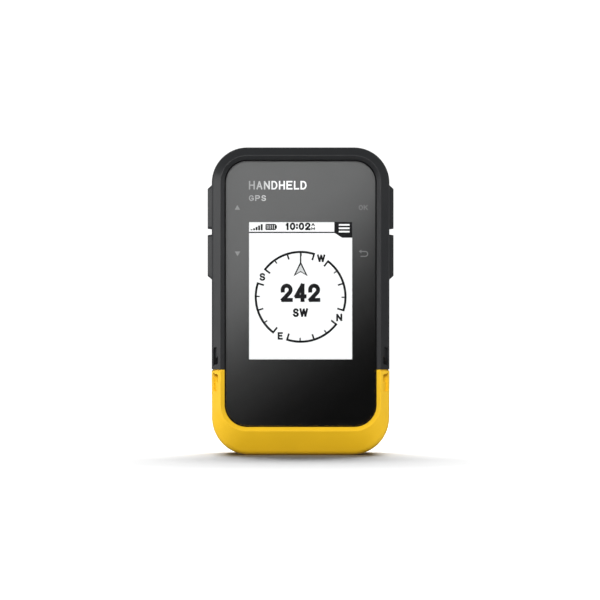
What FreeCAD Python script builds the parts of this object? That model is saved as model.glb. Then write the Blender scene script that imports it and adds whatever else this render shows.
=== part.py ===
"""A handheld satellite navigator: lens, case, bumper, side keys, two-cell battery bay and port.

Millimetres. X is across the face, Y runs from the face (negative) to the back, Z is up.
The origin is the middle of the base, and every sub-part is written where it sits in use.
"""

import FreeCAD, Part
import math
import os

from FreeCAD import Vector

# ---- body ---------------------------------------------------------------------------------
HEIGHT = 101.6
BODY_HALF = 29.35  # half width between the side walls
FRONT = -16.5  # the ridge round the lens
BACK = 12.7  # flat back of the body
SPLIT = 0.5  # joint between the front and rear case
CORNER_LO = 12.4
CORNER_HI = 11.7
FACET_DEPTH = 3.5  # from the ridge back to the side walls
FACET_ROUND = 2.5
BACK_ROUND = 6.0
SLOPE_Z = 82.8  # the upper back leans forward above this height
SLOPE = 0.5  # how far it comes forward for each millimetre of height
WALL = 2.0
THICK_WALL = 4.0  # bumper zone and the flange at the split
THICK_TOP = 40.0  # the wall is thick below this height
FLANGE = 2.0

# ---- lens and display ---------------------------------------------------------------------
LENS_HALF = 24.67
LENS_LO = 9.74
LENS_HI = 97.03
LENS_CORNER = 7.0
LENS_GAP = 0.38
LENS_FRONT = -15.6
LENS_THICK = 1.2
LENS_EDGE = 0.25
BEVEL = 1.4  # width of the slope between the ridge and the lens
BEVEL_DEPTH = 1.1
RIDGE_LAND = 0.15
TAPE = 0.3
LEDGE_THICK = 1.2
LEDGE_WIDTH = 2.9
SCREEN_HALF = 17.0
SCREEN_LO = 31.63
SCREEN_HI = 76.88
GLASS_HALF = 19.4
GLASS_LO = 27.8
GLASS_HI = 78.6

# ---- bumper -------------------------------------------------------------------------------
SEAM = 28.35
BUMPER_THICK = 1.9
GAP = 0.1
REBATE = (0.35, 0.45)  # depth and height of the step along the bumper's top edge
CORD_X = 28.0  # lanyard passages beside the seam
CORD_WIDTH = 1.5
CORD_SURFACE = -14.6
CORD_DEPTH = 2.4
CORD_REACH = 4.4
CORD_MOUTH = (1.55, 7.25)  # from the seam to the near and far ends of each mouth
CORD_MOUTH_DEPTH = 0.6
BAR_HALF = 1.75
BAR_THICK = 1.1

# ---- keys ---------------------------------------------------------------------------------
KEY_HALF = 30.8
KEY_Y = (-10.6, -3.2)
UPPER_KEY_Z = (74.65, 89.3)
LOWER_KEY_Z = (57.9, 72.9)
KEY_GAP = 0.12
KEY_TRAVEL = 0.5
KEY_ROUND = 1.0
KEY_RAMP = 1.25  # the slope at a key's far end
FLANGE_STEP = 0.55
STEM_R = 1.2
BOOT_X = (24.95, 27.3)
BOOT_WALL = 0.6
POWER_X = 10.0
POWER_Y = -7.6
POWER_HALF = 4.5
POWER_R = 2.2

# ---- circuit board ------------------------------------------------------------------------
BOARD_FRONT = -10.4
BOARD_THICK = 1.0
BOARD_HALF = 23.6
BOARD_Z = (6.6, 98.0)
BOARD_CORNER = 7.0
BOARD_SCREWS = ((-18.0, 10.4), (18.0, 10.4), (-15.5, 96.2), (15.5, 96.2))

# ---- battery bay, cover and latch ---------------------------------------------------------
BAY_HALF = 15.2
BAY_Z = (25.0, 80.0)
BAY_FLOOR = -4.6
TUB_WALL = 1.2
CELL_R = 7.25
CELL_LENGTH = 49.3
NUB_R = 2.75
NUB_LENGTH = 1.2
CELL_X = 7.55
CELL_Y = 2.9
PLATE = 0.3
COVER_HALF = 22.5
COVER_Z = (6.0, 83.0)
COVER_CORNER = 6.0
COVER_THICK = 2.2
COVER_GAP = 0.15
RECESS = BACK - COVER_THICK - COVER_GAP
INNER_BACK = RECESS - WALL
LIFT_SLOPE = 0.35  # the cover drops this much for each millimetre it comes out
SEAL_HALF = (17.3, 18.7)
SEAL_Z = (23.4, 82.4)
SEAL_DEPTH = 0.7
SCREW_END = -4.5
SCREW_SINK = 1.8
CASE_SCREWS = tuple((x, z) for z in (15.0, 46.0, 77.0) for x in (-20.8, 20.8))
LATCH_Z = 17.8
DISH_R = 10.6
DISH_FLOOR = 11.6
SHAFT_R = 2.95
BORE_R = 3.0
BOSS_R = 5.0
BOSS_END = 9.05
HUB_R = 4.2
HUB_BACK = 14.6
CAM_Y = (7.3, 8.9)
CAM_R = 4.4
TONGUE = 7.2
TONGUE_HALF = 2.6
WELL_HALF = 8.0
WELL_Z = (8.8, 23.2)
WELL_FLOOR = 6.2
WIRE_R = 0.9
WIRE_Y = 12.9
WIRE_HALF = 8.0
WIRE_BEND = 1.4
CATCH_HALF = 11.0
CATCH_Z = (9.3, 12.1)
CATCH_SCREWS = ((-9.8, 10.7), (9.8, 10.7))
CATCH_Y = (9.05, 9.75)
RAIL_Z = (38.0, 72.0)
RAIL_NECK = 4.6
RAIL_HEAD = 8.0
RAIL_GAP = 1.7
RAIL_BACK = 16.5
RAIL_STOP = 1.5

# ---- port ---------------------------------------------------------------------------------
PORT_Z = 91.0
PORT_FACE = 3.7
SHELL = (4.47, 1.6)
MOUTH = (4.17, 1.28)
MOUTH_DEPTH = 6.3
TONGUE_PLATE = (3.35, 0.35)
POCKET = (6.8, 4.0)
POCKET_FLOOR = 3.9
CAP = (8.5, 6.2)
CAP_THICK = 1.5
CAP_GAP = 0.15
STRAP_HALF = 3.0
STRAP_END = 9.4
STRAP_Y = (-1.3, -0.35)

FAR = 60.0  # longer than the body, for cutting blocks


# ---- shapes -------------------------------------------------------------------------------
def outline(y, half, z_lo, z_hi, r_lo, r_hi):
    """Rounded rectangle in the plane Y = y, as a closed wire of four arcs and four lines."""
    corners = (
        (half - r_lo, z_lo + r_lo, r_lo, -90),
        (half - r_hi, z_hi - r_hi, r_hi, 0),
        (-half + r_hi, z_hi - r_hi, r_hi, 90),
        (-half + r_lo, z_lo + r_lo, r_lo, 180),
    )
    arcs = []
    for cx, cz, r, start in corners:
        turns = [math.radians(start + step) for step in (0, 45, 90)]
        arcs.append([Vector(cx + r * math.cos(a), y, cz + r * math.sin(a)) for a in turns])
    edges = []
    for number, arc in enumerate(arcs):
        edges.append(Part.Arc(*arc).toShape())
        edges.append(Part.makeLine(arc[2], arcs[(number + 1) % 4][0]))
    return Part.Wire(edges)


def slab(half, z, corner, y):
    """Rounded plate from y[0] to y[1]."""
    wire = outline(y[0], half, z[0], z[1], corner, corner)
    return Part.Face(wire).extrude(Vector(0, y[1] - y[0], 0))


def box(x, y, z):
    return Part.makeBox(x[1] - x[0], y[1] - y[0], z[1] - z[0], Vector(x[0], y[0], z[0]))


def rod_x(x, y, z, r):
    return Part.makeCylinder(r, x[1] - x[0], Vector(x[0], y, z), Vector(1, 0, 0))


def rod_y(x, y, z, r):
    return Part.makeCylinder(r, y[1] - y[0], Vector(x, y[0], z), Vector(0, 1, 0))


def stadium_z(x, y, half, r, z):
    """Upright prism with round ends along X."""
    middle = box((x - half + r, x + half - r), (y - r, y + r), z)
    ends = [Part.makeCylinder(r, z[1] - z[0], Vector(x + s * (half - r), y, z[0])) for s in (-1, 1)]
    return middle.fuse(ends).removeSplitter()


def between(shape, y=(-FAR, FAR), z=(-FAR, 3 * FAR)):
    return shape.common(box((-FAR, FAR), y, z))


def grow(pair, by):
    return (pair[0] - by, pair[1] + by)


def sheared(half, z, corner, y):
    """Plate whose outline is true at the back plane and climbs along the cover's way out."""
    climb = LIFT_SLOPE * (BACK - y[0])
    wire = outline(y[0], half, z[0] + climb, z[1] + climb, corner, corner)
    depth = y[1] - y[0]
    return Part.Face(wire).extrude(Vector(0, depth, -LIFT_SLOPE * depth))


def save(name, shape):
    if not shape.isValid() or shape.Volume <= 0 or not shape.Solids:
        raise ValueError(name + " is not a good solid")
    solids = shape.Solids
    whole = solids[0] if len(solids) == 1 else Part.makeCompound(solids)
    whole.exportStep(os.path.join("parts", name + ".step"))
    size = whole.BoundBox
    print(f"{name:20s} {len(solids)} solids {size.XLength:6.1f} {size.YLength:6.1f} {size.ZLength:6.1f}")
    return whole


# ---- outer form ---------------------------------------------------------------------------
def opening(y, grown=0.0):
    """The lens opening's outline, grown outwards."""
    add = LENS_GAP + grown
    corner = LENS_CORNER + add
    return outline(y, LENS_HALF + add, LENS_LO - add, LENS_HI + add, corner, corner)


def slope_y(z, inset=0.0):
    return BACK - inset * math.hypot(1, SLOPE) - SLOPE * (z - SLOPE_Z)


def envelope(inset):
    """The whole body's outer form, moved in by an even wall."""
    ridge = LENS_GAP + BEVEL
    middle = FRONT + FACET_DEPTH + inset / 2
    side_run = (BODY_HALF - LENS_HALF - ridge) / FACET_DEPTH
    low_run = (LENS_LO - ridge) / FACET_DEPTH
    side = inset * (math.hypot(1, side_run) - side_run)
    low = inset * (math.hypot(1, low_run) - low_run)
    corner = LENS_CORNER + ridge - side
    front = outline(
        FRONT + inset,
        LENS_HALF + ridge - side,
        LENS_LO - ridge + low,
        LENS_HI + ridge - side,
        corner,
        corner,
    )
    full = outline(
        middle, BODY_HALF - inset, inset, HEIGHT - inset, CORNER_LO - inset, CORNER_HI - inset
    )
    block = Part.Face(full).extrude(Vector(0, BACK - inset - middle, 0))
    body = Part.makeLoft([front, full], True, True).fuse(block).removeSplitter()
    body = body.cut(slope_cutter(inset))
    facet = [e for e in body.Edges if lies_on(e, lambda p: p.y - middle)]
    body = body.makeFillet(max(FACET_ROUND - inset, 1.0), facet)
    rear = [
        e
        for e in body.Edges
        if lies_on(e, lambda p: p.y - (BACK - inset))
        or lies_on(e, lambda p: p.y - slope_y(p.z, inset))
    ]
    return body.makeFillet(BACK_ROUND - inset, rear)


def slope_cutter(inset):
    z = (SLOPE_Z - FAR / 3, SLOPE_Z + FAR)
    corners = [
        Vector(-FAR, slope_y(z[0], inset), z[0]),
        Vector(-FAR, slope_y(z[1], inset), z[1]),
        Vector(-FAR, slope_y(z[1], inset) + FAR, z[1]),
        Vector(-FAR, slope_y(z[0], inset) + FAR, z[0]),
    ]
    return Part.Face(Part.makePolygon(corners + corners[:1])).extrude(Vector(2 * FAR, 0, 0))


def lies_on(edge, height):
    middle = edge.valueAt((edge.FirstParameter + edge.LastParameter) / 2)
    points = [v.Point for v in edge.Vertexes] + [middle]
    return all(abs(height(p)) < 1e-5 for p in points)


def lens_pocket():
    foot = FRONT + BEVEL_DEPTH
    bevel = Part.makeLoft([opening(FRONT, BEVEL - RIDGE_LAND), opening(foot)], True, True)
    return bevel.fuse(Part.Face(opening(foot)).extrude(Vector(0, LEDGE - foot, 0)))


def cord_passage(side):
    """Curved channel behind the bar at the seam, and a shallow mouth at each end that follows the facet."""

    def disc(reach, depth):
        radius = (reach**2 + depth**2) / (2 * depth)
        return rod_x((-CORD_WIDTH / 2, CORD_WIDTH / 2), depth - radius, 0, radius)

    channel = disc(CORD_REACH, CORD_DEPTH).cut(disc(BAR_HALF, BAR_THICK))
    channel = between(channel, y=(-4.0, FAR), z=(-CORD_REACH, CORD_REACH))
    lean = math.atan2(FACET_DEPTH, BODY_HALF - LENS_HALF - LENS_GAP - BEVEL)
    half = CORD_WIDTH / 2
    for end in (-1, 1):
        mouth_z = sorted((end * CORD_MOUTH[0], end * CORD_MOUTH[1]))
        mouth = slab(half / math.cos(lean), mouth_z, half * 0.9, (-4.0, CORD_MOUTH_DEPTH))
        mouth.rotate(Vector(0, 0, 0), Vector(0, 0, 1), side * math.degrees(lean))
        channel = channel.fuse(mouth)
    channel.translate(Vector(side * CORD_X, CORD_SURFACE, SEAM))
    return channel


LEDGE = LENS_FRONT + LENS_THICK + TAPE
LEDGE_BACK = LEDGE + LEDGE_THICK
BOARD_BACK = BOARD_FRONT + BOARD_THICK
SWITCH_Y = (BOARD_BACK, BOARD_BACK + 3.5)


def key_parts():
    """Every side key: name, side, height range, and which end has the ramp."""
    return (
        ("up", -1, UPPER_KEY_Z, 1),
        ("down", -1, LOWER_KEY_Z, -1),
        ("ok", 1, UPPER_KEY_Z, 1),
        ("back", 1, LOWER_KEY_Z, -1),
    )


def side_prism(side, x, y, z, corner):
    """Rounded prism that runs along X from x[0] to x[1] on one side of the body."""
    shape = slab((y[1] - y[0]) / 2, z, corner, (0, x[1] - x[0]))
    shape.rotate(Vector(0, 0, 0), Vector(0, 0, 1), -90 * side)
    shape.translate(Vector(side * x[0], (y[0] + y[1]) / 2, 0))
    return shape


# ---- casings ------------------------------------------------------------------------------
def make_casings():
    outer = envelope(0)
    skin = envelope(BUMPER_THICK + GAP)
    thick = envelope(THICK_WALL)
    ledge_box = (LEDGE, FAR)
    lower = between(skin, y=ledge_box, z=(-1, SEAM))
    solid_case = between(outer, z=(SEAM, FAR * 2)).fuse(lower)
    upper_room = (THICK_TOP, FAR * 2)
    passages = [cord_passage(side) for side in (-1, 1)]
    cover_hole = sheared(
        COVER_HALF + COVER_GAP, grow(COVER_Z, COVER_GAP), COVER_CORNER, (RECESS, BACK + 4)
    )

    front = between(solid_case, y=(-FAR, SPLIT))
    front = front.cut(lens_pocket())
    front = front.cut(between(thick, y=(LEDGE_BACK, FAR)))
    front = front.cut(between(skin, y=(LEDGE_BACK, SPLIT - FLANGE), z=upper_room))
    window = (LENS_LO + LEDGE_WIDTH, LENS_HI - LEDGE_WIDTH)
    depth = grow((LEDGE, LEDGE_BACK), 1)
    front = front.cut(slab(LENS_HALF - LEDGE_WIDTH, window, LENS_CORNER - LEDGE_WIDTH, depth))
    for x, z in BOARD_SCREWS:
        front = front.fuse(rod_y(x, (LEDGE_BACK - 0.5, BOARD_FRONT), z, 1.9))
        front = front.cut(rod_y(x, (LEDGE_BACK - 0.4, BOARD_FRONT), z, 0.7))
    for x, z in CASE_SCREWS:
        wall = math.copysign(BODY_HALF - THICK_WALL + 0.5, x)
        web = box(sorted((x, wall)), (SPLIT - FLANGE, SPLIT), (z - 1.6, z + 1.6))
        front = front.fuse([rod_y(x, (SCREW_END - 1.3, SPLIT), z, 2.2), web])
        front = front.cut(rod_y(x, (SCREW_END - 0.5, SPLIT), z, 0.85))
    for _, side, z, _ in key_parts():
        hole = side_prism(side, (26.0, 32.0), grow(KEY_Y, KEY_GAP), grow(z, KEY_GAP), KEY_ROUND)
        front = front.cut(hole)
    key_hole = (POWER_HALF + KEY_GAP, POWER_R + KEY_GAP)
    front = front.cut(stadium_z(POWER_X, POWER_Y, *key_hole, (HEIGHT - THICK_WALL, HEIGHT + 1)))
    front = front.cut(passages)
    save("front_case", front.removeSplitter())

    bumper = between(outer, z=(-1, SEAM - GAP))
    bumper = bumper.cut(between(envelope(BUMPER_THICK), y=(LEDGE - GAP / 2, FAR)))
    bumper = bumper.cut([lens_pocket(), cover_hole] + passages)
    step = between(outer, z=(SEAM - GAP - REBATE[1], SEAM)).cut(envelope(REBATE[0]))
    save("lower_bumper", bumper.cut(step).removeSplitter())

    rear = between(solid_case, y=(SPLIT, FAR))
    rear = rear.cut(between(thick, y=(SPLIT - 1, INNER_BACK)))
    rear = rear.cut(between(skin, y=(SPLIT + FLANGE, INNER_BACK), z=upper_room))
    bay = (-BAY_HALF, BAY_HALF)
    well = (-WELL_HALF, WELL_HALF)
    into_wall = INNER_BACK + 0.5
    tub = box(grow(bay, TUB_WALL), (BAY_FLOOR - TUB_WALL, into_wall), grow(BAY_Z, TUB_WALL))
    well_walls = box(grow(well, TUB_WALL), (WELL_FLOOR - TUB_WALL, into_wall), grow(WELL_Z, TUB_WALL))
    tower = between(solid_case, y=(POCKET_FLOOR - 1.3, FAR), z=grow((PORT_Z, PORT_Z), POCKET[1] + 1.5))
    tower = tower.common(box(grow((0, 0), POCKET[0] + 1.6), (0, FAR), (0, 2 * FAR)))
    bosses = [rod_y(x, (SPLIT, into_wall), z, 2.6) for x, z in CASE_SCREWS]
    bosses += [rod_y(x, (CATCH_Y[0] - 3.0, into_wall), z, 1.6) for x, z in CATCH_SCREWS]
    rear = rear.fuse([tub, well_walls, tower] + bosses)
    rear = rear.cut(box(bay, (BAY_FLOOR, BACK), BAY_Z))
    rear = rear.cut(box(well, (WELL_FLOOR, BACK), WELL_Z))
    rear = rear.cut(cover_hole)
    catch_seat = box(grow((-CATCH_HALF, CATCH_HALF), 0.1), (CATCH_Y[0], RECESS + 1), grow(CATCH_Z, 0.05))
    rear = rear.cut(catch_seat)
    groove = seal_ring(0.05, (RECESS - SEAL_DEPTH, RECESS + 1))
    rear = rear.cut(groove)
    for x, z in CASE_SCREWS:
        rear = rear.cut(rod_y(x, (SPLIT - 1, RECESS), z, 1.1))
        rear = rear.cut(rod_y(x, (RECESS - SCREW_SINK, RECESS + 1), z, 1.75))
    for x, z in CATCH_SCREWS:
        rear = rear.cut(rod_y(x, (CATCH_Y[0] - 2.3, CATCH_Y[0] + 1), z, 0.6))
    rear = rear.cut(port_prism(POCKET, 1.6, (POCKET_FLOOR, FAR)))
    rear = rear.cut(port_prism((SHELL[0] + 0.12, SHELL[1] + 0.12), 1.5, (0, FAR)))
    cap_z = grow((-CAP[1], CAP[1]), CAP_GAP)
    rear = rear.cut(on_slope(CAP[0] + CAP_GAP, cap_z, 2.6, (-CAP_THICK - GAP, 3)))
    rear = rear.cut(on_slope(STRAP_HALF + 0.1, (CAP[1] - 1, STRAP_END + 0.1), 0.8, (STRAP_Y[0] - 0.1, 3)))
    rear = rear.cut(case_seal_ring(0.05, (SPLIT - 1, SPLIT + 1.0)))
    save("rear_case", rear.removeSplitter())
    return outer


def seal_ring(margin, y):
    outer = slab(SEAL_HALF[1] + margin, grow(SEAL_Z, margin), 4.0, y)
    rim = SEAL_HALF[1] - SEAL_HALF[0]
    return outer.cut(slab(SEAL_HALF[0] - margin, grow(SEAL_Z, -rim - margin), 3.0, grow(y, 1)))


def case_seal_ring(margin, y):
    def plate(inset):
        corners = (CORNER_LO - inset, CORNER_HI - inset)
        wire = outline(y[0], BODY_HALF - inset, inset, HEIGHT - inset, *corners)
        return Part.Face(wire).extrude(Vector(0, y[1] - y[0], 0))

    return plate(2.6 - margin).cut(plate(3.6 + margin))


def port_prism(half, corner, y):
    """Rounded prism along Y round the port's middle."""
    return slab(half[0], (PORT_Z - half[1], PORT_Z + half[1]), min(corner, half[1] - 0.02), y)


def on_slope(half, along, corner, out):
    """Rounded plate in the plane of the upper back. along runs up the slope from the port's height."""
    shape = slab(half, along, corner, out)
    shape.rotate(Vector(0, 0, 0), Vector(1, 0, 0), math.degrees(math.atan(SLOPE)))
    shape.translate(Vector(0, slope_y(PORT_Z), PORT_Z))
    return shape


# ---- lens, display and board --------------------------------------------------------------
def make_front_stack():
    lens_back = LENS_FRONT + LENS_THICK
    lens = slab(LENS_HALF, (LENS_LO, LENS_HI), LENS_CORNER, (LENS_FRONT, lens_back))
    rim = [e for e in lens.Edges if lies_on(e, lambda p: p.y - LENS_FRONT)]
    save("front_lens", lens.makeChamfer(LENS_EDGE, rim))

    lens_z = (LENS_LO, LENS_HI)
    tape = slab(LENS_HALF - 0.2, grow(lens_z, -0.2), LENS_CORNER - 0.2, (lens_back, LEDGE))
    hole = slab(LENS_HALF - 2.4, grow(lens_z, -2.4), LENS_CORNER - 2.4, grow((lens_back, LEDGE), 1))
    save("lens_adhesive", tape.cut(hole))

    foam_back = lens_back + 0.5
    glass_x = (-GLASS_HALF, GLASS_HALF)
    glass_z = (GLASS_LO, GLASS_HI)
    sight_x = grow((-SCREEN_HALF, SCREEN_HALF), 0.5)
    screen_z = (SCREEN_LO, SCREEN_HI)
    foam = box(grow(glass_x, -0.2), (lens_back, foam_back), grow(screen_z, 1.6))
    save("display_gasket", foam.cut(box(sight_x, (-FAR, FAR), grow(screen_z, 0.5))))
    save("display_glass", box(glass_x, (foam_back, foam_back + 1.4), glass_z))
    light = (foam_back + 1.45, foam_back + 2.55)
    save("backlight", box(glass_x, light, (GLASS_LO + 1.2, GLASS_HI)))

    frame = slab(GLASS_HALF + 1.2, grow(glass_z, 1.2), 1.0, (foam_back, BOARD_FRONT))
    frame = frame.cut(box(grow(glass_x, 0.1), (-FAR, light[1] + 0.05), grow(glass_z, 0.1)))
    frame = frame.cut(box(grow(glass_x, -3), (-FAR, FAR), grow(glass_z, -3)))
    frame = frame.cut(box((-10, 10), (foam_back + 1.0, FAR), (GLASS_LO - 2, GLASS_LO + 0.5)))
    save("display_frame", frame)
    make_flex(foam_back + 1.0)

    board = slab(BOARD_HALF, BOARD_Z, BOARD_CORNER, (BOARD_FRONT, BOARD_BACK))
    board = board.cut([rod_y(x, (BOARD_FRONT - 1, BOARD_BACK + 1), z, 0.95) for x, z in BOARD_SCREWS])
    save("main_board", board)
    screws = []
    for x, z in BOARD_SCREWS:
        shank = rod_y(x, (LEDGE_BACK - 0.2, BOARD_BACK + 0.2), z, 0.68)
        head = rod_y(x, (BOARD_BACK, BOARD_BACK + 1.0), z, 1.5)
        screws.append(head.fuse(shank).cut(cross_slot(x, (BOARD_BACK + 0.5, FAR), z, 0.8, 0.2)))
    save("board_screws", Part.makeCompound(screws))


def cross_slot(x, y, z, long, wide):
    """Two crossed cutters for the drive of a screw whose axis runs along Y."""
    upright = box((x - wide, x + wide), y, (z - long, z + long))
    return box((x - long, x + long), y, (z - wide, z + wide)).fuse(upright)


def make_flex(y):
    """Ribbon from the display's foot, stepped back to its connector on the board."""
    thick = 0.2
    step_z = 22.0
    end_z = 15.6
    back = BOARD_FRONT - 0.9
    upper = box((-9, 9), (y, y + thick), (step_z, GLASS_LO))
    lower = box((-9, 9), (back, back + thick), (end_z, step_z))
    step = box((-9, 9), (y, back + thick), (step_z - thick, step_z))
    save("display_flex", upper.fuse([lower, step]).removeSplitter())
    socket = box((-10.2, 10.2), (BOARD_FRONT - 1.3, BOARD_FRONT), (end_z - 2, end_z + 2))
    slot = box((-9.1, 9.1), grow((back, back + thick), 0.05), (end_z - 0.1, end_z + 3))
    save("display_connector", socket.cut(slot))


def make_electronics():
    can_y = (BOARD_BACK, BOARD_BACK + 2.0)
    for name, x, z in (
        ("rf_shield", (-13.0, 7.0), (52.0, 72.0)),
        ("cpu_shield", (-13.0, 13.0), (30.0, 48.0)),
    ):
        lid = box(x, can_y, z)
        lid = lid.makeFillet(0.8, [e for e in lid.Edges if abs(e.tangentAt(0).y) > 0.99])
        save(name, lid.cut(box(grow(x, -0.2), (can_y[0] - 1, can_y[1] - 0.2), grow(z, -0.2))))

    chips = (
        ((-9.0, 4.0), (55.0, 68.0), 1.2),
        ((-10.0, 0.0), (32.0, 42.0), 1.3),
        ((2.5, 10.5), (33.0, 45.0), 1.1),
        ((9.5, 14.0), (54.0, 58.5), 1.0),
        ((-16.5, -12.5), (76.0, 80.0), 1.2),
        ((-20.0, -16.0), (30.0, 34.0), 1.8),
        ((15.5, 18.7), (36.0, 39.2), 0.9),
        ((-6.0, 6.0), (11.0, 14.5), 1.6),
        ((9.0, 12.2), (61.0, 66.0), 1.5),
    )
    blocks = [box(x, (BOARD_BACK, BOARD_BACK + tall), z) for x, z, tall in chips]
    save("board_components", Part.makeCompound(blocks))

    tile = (80.1, 93.9)
    tile_front = BOARD_FRONT - 3.5
    save("gps_antenna", box((-6.9, 6.9), (tile_front, BOARD_FRONT), tile))
    metal = box((-5.9, 5.9), (tile_front - 0.1, tile_front), grow(tile, -1))
    pin = rod_y(1.3, (tile_front - 0.3, tile_front - 0.1), 87.9, 0.7)
    save("antenna_patch", metal.fuse(pin))


# ---- keys ---------------------------------------------------------------------------------
def make_keys():
    boots = {-1: [], 1: []}
    switches = []
    wall_x = BODY_HALF - WALL
    for name, side, z, ramp_end in key_parts():
        full = box_wire(side, BODY_HALF, KEY_Y, z, KEY_ROUND)
        ramps = (0.2, KEY_RAMP) if ramp_end > 0 else (KEY_RAMP, 0.2)
        top_y = (KEY_Y[0] + 1.7, KEY_Y[1] - 0.7)
        top = box_wire(side, KEY_HALF, top_y, (z[0] + ramps[0], z[1] - ramps[1]), 0.8)
        cap = Part.makeLoft([full, top], True, True)
        neck = side_prism(side, (26.8, BODY_HALF), KEY_Y, z, KEY_ROUND)
        wide = (grow(KEY_Y, FLANGE_STEP), grow(z, FLANGE_STEP))
        flange = side_prism(side, (26.35, wall_x - GAP), *wide, KEY_ROUND)
        middle = (z[0] + z[1]) / 2
        centre_y = (KEY_Y[0] + KEY_Y[1]) / 2
        reach = sorted((side * 24.5, side * 26.5))
        stem = rod_x(reach, centre_y, middle, STEM_R)
        save("key_" + name, cap.fuse([neck, flange, stem]).removeSplitter())

        tip = (centre_y - 0.6, centre_y + 0.6)
        tip_z = (middle - 1.1, middle + 1.1)
        save("plunger_" + name, box(sorted((side * 22.6, side * 24.5)), tip, tip_z))
        body = box(sorted((side * 19.6, side * 23.4)), SWITCH_Y, (middle - 3, middle + 3))
        pocket = box(sorted((side * 22.0, side * 24.0)), grow(tip, 0.1), grow(tip_z, 0.1))
        switches.append(body.cut(pocket))
        hole = rod_x(sorted((side * 24.0, side * 27.0)), centre_y, middle, STEM_R + 0.05)
        boots[side].append(hole)
    save("key_switches", Part.makeCompound(switches))

    room = grow((LOWER_KEY_Z[0], UPPER_KEY_Z[1]), FLANGE_STEP + 0.2)
    deep = grow(KEY_Y, FLANGE_STEP + 0.2)
    for name, side in (("left_key_boot", -1), ("right_key_boot", 1)):
        boot = side_prism(side, BOOT_X, grow(deep, BOOT_WALL), grow(room, BOOT_WALL), 1.4)
        boot = boot.cut(side_prism(side, (BOOT_X[0] + 0.5, 28.0), deep, room, 1.0))
        save(name, boot.cut(boots[side]))
    make_power_key()


def box_wire(side, x, y, z, corner):
    """Rounded rectangle across X."""
    wire = outline(0, (y[1] - y[0]) / 2, z[0], z[1], corner, corner)
    wire.rotate(Vector(0, 0, 0), Vector(0, 0, 1), -90 * side)
    wire.translate(Vector(side * x, (y[0] + y[1]) / 2, 0))
    return wire


def make_power_key():
    inside = HEIGHT - WALL
    cap = stadium_z(POWER_X, POWER_Y, POWER_HALF, POWER_R, (inside - 0.6, HEIGHT - 0.15))
    rim = [e for e in cap.Edges if lies_on(e, lambda p: p.z - HEIGHT + 0.15)]
    cap = cap.makeChamfer(0.25, rim)
    wide = (POWER_HALF + FLANGE_STEP, POWER_R + FLANGE_STEP)
    flange = stadium_z(POWER_X, POWER_Y, *wide, (inside - 1.0, inside - GAP))
    save("power_key", cap.fuse(flange).removeSplitter())
    tip_x = (POWER_X - 1.1, POWER_X + 1.1)
    tip_y = (POWER_Y - 0.6, POWER_Y + 0.6)
    save("plunger_power", box(tip_x, tip_y, (96.8, inside - 1.0)))
    body = box((POWER_X - 3, POWER_X + 3), SWITCH_Y, (93.9, 97.6))
    save("power_switch", body.cut(box(grow(tip_x, 0.1), grow(tip_y, 0.1), (96.2, 98))))


# ---- seals and fasteners of the case ------------------------------------------------------
def make_case_hardware():
    save("case_seal", case_seal_ring(0.0, (SPLIT, SPLIT + 0.95)))
    screws = []
    for x, z in CASE_SCREWS:
        head = rod_y(x, (RECESS - SCREW_SINK, RECESS - 0.4), z, 1.6)
        shank = rod_y(x, (SCREW_END, RECESS - SCREW_SINK + 0.1), z, 0.83)
        screws.append(head.fuse(shank).cut(cross_slot(x, (RECESS - 1.2, FAR), z, 1.0, 0.25)))
    save("case_screws", Part.makeCompound(screws))


# ---- batteries ----------------------------------------------------------------------------
def make_batteries():
    plate_top = BAY_Z[1] - PLATE
    plate_foot = BAY_Z[0] + PLATE
    whole = CELL_LENGTH + NUB_LENGTH
    left_top = plate_top - 0.05
    right_foot = plate_foot + 0.05
    save("aa_cell_left", cell(-CELL_X, left_top - whole, False))
    save("aa_cell_right", cell(CELL_X, right_foot, True))

    left = coil(-CELL_X, plate_foot, left_top - whole - 0.05, False)
    right = coil(CELL_X, right_foot + whole + 0.05, plate_top, True)
    save("battery_springs", Part.makeCompound([left, right]))

    leaf_y = grow((CELL_Y, CELL_Y), 5.0)
    save("bridge_contact", box((-13.0, 13.0), leaf_y, (plate_top, BAY_Z[1])))
    save("terminal_negative", box((-13.0, -2.0), leaf_y, (BAY_Z[0], plate_foot)))
    save("terminal_positive", box((2.0, 13.0), leaf_y, (BAY_Z[0], plate_foot)))


def cell(x, foot, upside_down):
    can = Part.makeCylinder(CELL_R, CELL_LENGTH, Vector(x, CELL_Y, 0))
    ends = [e for e in can.Edges if e.Closed]
    can = can.makeFillet(0.6, ends)
    nub = Part.makeCylinder(NUB_R, NUB_LENGTH + 0.5, Vector(x, CELL_Y, CELL_LENGTH - 0.5))
    shape = can.fuse(nub).removeSplitter()
    if upside_down:
        shape.rotate(Vector(x, CELL_Y, CELL_LENGTH / 2), Vector(1, 0, 0), 180)
        shape.translate(Vector(0, 0, NUB_LENGTH))
    shape.translate(Vector(0, 0, foot))
    return shape


def coil(x, low, high, narrow_low):
    """Conical wire spring between its plate and a cell. The narrow end meets the cell."""
    wire_r = 0.3
    wide = 4.6
    turns = 2.5
    height = high - low - 2 * wire_r
    taper = 24.0
    helix = Part.makeHelix(height / turns, height, wide, -taper)
    start = Part.Wire(Part.makeCircle(wire_r, Vector(wide, 0, 0), Vector(0, 1, 0)))
    spring = Part.Wire(helix.Edges).makePipeShell([start], True, True)
    if narrow_low:
        spring.rotate(Vector(0, 0, height / 2), Vector(1, 0, 0), 180)
    spring.translate(Vector(x, CELL_Y, low + wire_r))
    return spring


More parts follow.
